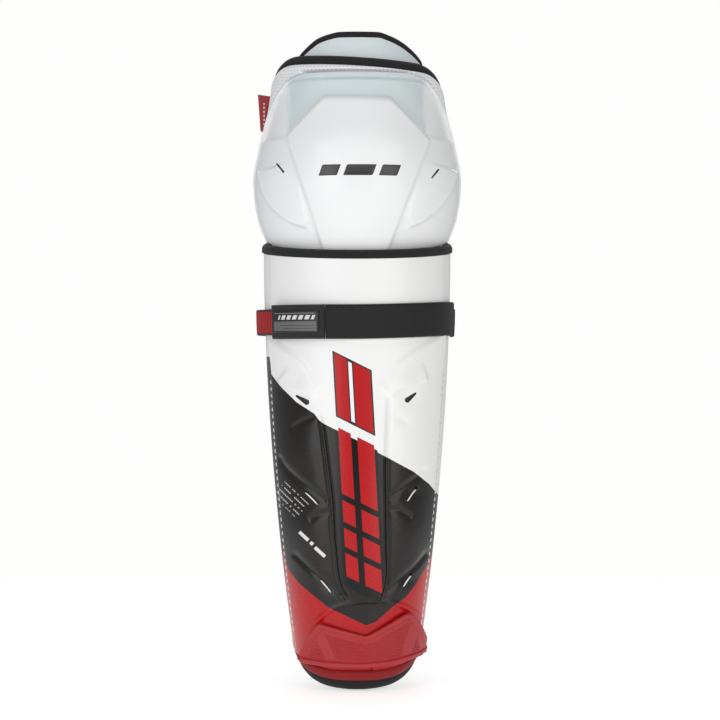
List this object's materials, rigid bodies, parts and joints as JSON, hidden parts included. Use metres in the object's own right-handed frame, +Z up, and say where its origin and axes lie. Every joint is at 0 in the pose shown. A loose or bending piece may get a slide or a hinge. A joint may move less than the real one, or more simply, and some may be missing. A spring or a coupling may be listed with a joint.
{
  "type": "ice hockey shin guard",
  "caption": "Ice hockey shin guard: hinged knee cup over a tapered shin shell with rubber toe cap, calf wings, straps and a removable liner.",
  "frame": {"origin": "on the leg's axis, level with the lowest point of the guard", "axes": "+Z up along the leg towards the knee, +Y to the rear (calf), so the guard's front faces -Y and +X is the right-hand side seen from the front"},
  "size_m": [0.156, 0.1886, 0.4912],
  "materials": {
    "shin_plastic": "satin white moulded shell with printed black and red areas",
    "knee_plastic": "satin white moulded knee cup",
    "toe_rubber": "matte red ribbed rubber",
    "bumper_foam": "dark red fabric over foam",
    "binding": "black woven binding tape",
    "core_foam": "closed-cell foam, dark grey",
    "pad_mesh": "white perforated mesh over foam",
    "flap_fabric": "pale grey-blue lining fabric over foam",
    "liner_fabric": "brushed charcoal lining fabric",
    "liner_rib_fabric": "charcoal spacer mesh over foam",
    "elastic_red": "red ribbed elastic with black edges",
    "webbing_black": "black woven elastic",
    "label_rubber": "moulded grey rubber patch",
    "label_woven": "red woven label",
    "hook_tape": "black hook tape",
    "loop_tape": "black loop tape",
    "wing_fabric": "black knit fabric over foam"
  },
  "bodies": {
    "shin": {"shin_shell": "shin_plastic", "shin_foam": "core_foam", "rim_binding": "binding", "toe_bumper": "bumper_foam", "bottom_binding": "binding", "toe_cap": "toe_rubber", "strap_anchor": "elastic_red", "flank_loop_patch": "loop_tape", "liner_hook_patches": "hook_tape", "knee_gusset_left": "webbing_black", "knee_gusset_right": "webbing_black", "lower_strap_anchor": "webbing_black", "lower_loop_patch": "loop_tape"},
    "knee": {"knee_shell": "knee_plastic", "knee_skirt": "pad_mesh", "knee_pad": "pad_mesh", "knee_binding": "binding", "knee_ring_pad": "liner_rib_fabric", "side_label": "label_woven"},
    "thigh_flap": {"thigh_flap": "flap_fabric", "thigh_flap_binding": "binding"},
    "left_wing": {"wing_left": "wing_fabric", "wing_binding_left": "binding"},
    "right_wing": {"wing_right": "wing_fabric", "wing_binding_right": "binding"},
    "front_strap": {"front_strap": "webbing_black"},
    "strap_tab": {"strap_tab": "webbing_black", "strap_label": "label_rubber", "tab_hook_patch": "hook_tape"},
    "rear_strap": {"rear_strap": "elastic_red", "rear_strap_tab": "webbing_black", "rear_hook_patch": "hook_tape"},
    "lower_strap": {"lower_strap": "webbing_black", "lower_strap_tab": "webbing_black", "lower_hook_patch": "hook_tape"},
    "liner": {"liner_base": "liner_fabric", "liner_pad_left": "liner_rib_fabric", "liner_pad_middle": "liner_rib_fabric", "liner_pad_right": "liner_rib_fabric", "liner_loop_patches": "loop_tape"}
  },
  "joints": [
    {"name": "knee_flex", "type": "hinge", "parent": "shin", "child": "knee", "pos_m": [0, 0.005, 0.33], "axis": [-1, 0, 0], "range_deg": [0, 22], "stiffness_Nm_per_rad": 1},
    {"name": "thigh_flex", "type": "hinge", "parent": "knee", "child": "thigh_flap", "pos_m": [0, -0.06, 0.417], "axis": [-1, 0, 0], "range_deg": [0, 20], "stiffness_Nm_per_rad": 0.6},
    {"name": "left_wing_flex", "type": "hinge", "parent": "shin", "child": "left_wing", "pos_m": [-0.06482, 0.01198, 0.223], "axis": [-0.0552, 0.0083, 0.9984], "range_deg": [-15, 12], "stiffness_Nm_per_rad": 0.5},
    {"name": "right_wing_flex", "type": "hinge", "parent": "shin", "child": "right_wing", "pos_m": [0.06482, 0.01198, 0.223], "axis": [-0.0552, -0.0083, -0.9984], "range_deg": [-15, 12], "stiffness_Nm_per_rad": 0.5},
    {"name": "strap_open", "type": "hinge", "parent": "shin", "child": "front_strap", "pos_m": [0.07329, -0.00789, 0.2737], "axis": [0, 0, 1], "range_deg": [0, 110]},
    {"name": "tab_peel", "type": "hinge", "parent": "front_strap", "child": "strap_tab", "pos_m": [-0.02341, -0.07467, 0.2737], "axis": [0, 0, 1], "range_deg": [0, 115]},
    {"name": "rear_strap_open", "type": "hinge", "parent": "shin", "child": "rear_strap", "pos_m": [-0.07597, 0.01116, 0.2737], "axis": [0, 0, 1], "range_deg": [0, 110]},
    {"name": "lower_strap_open", "type": "hinge", "parent": "shin", "child": "lower_strap", "pos_m": [-0.05718, -0.004, 0.089], "axis": [0, 0, 1], "range_deg": [0, 110]},
    {"name": "liner_pull", "type": "slide", "parent": "shin", "child": "liner", "axis": [0, 1, 0], "range_m": [0, 0.045]}
  ]
}
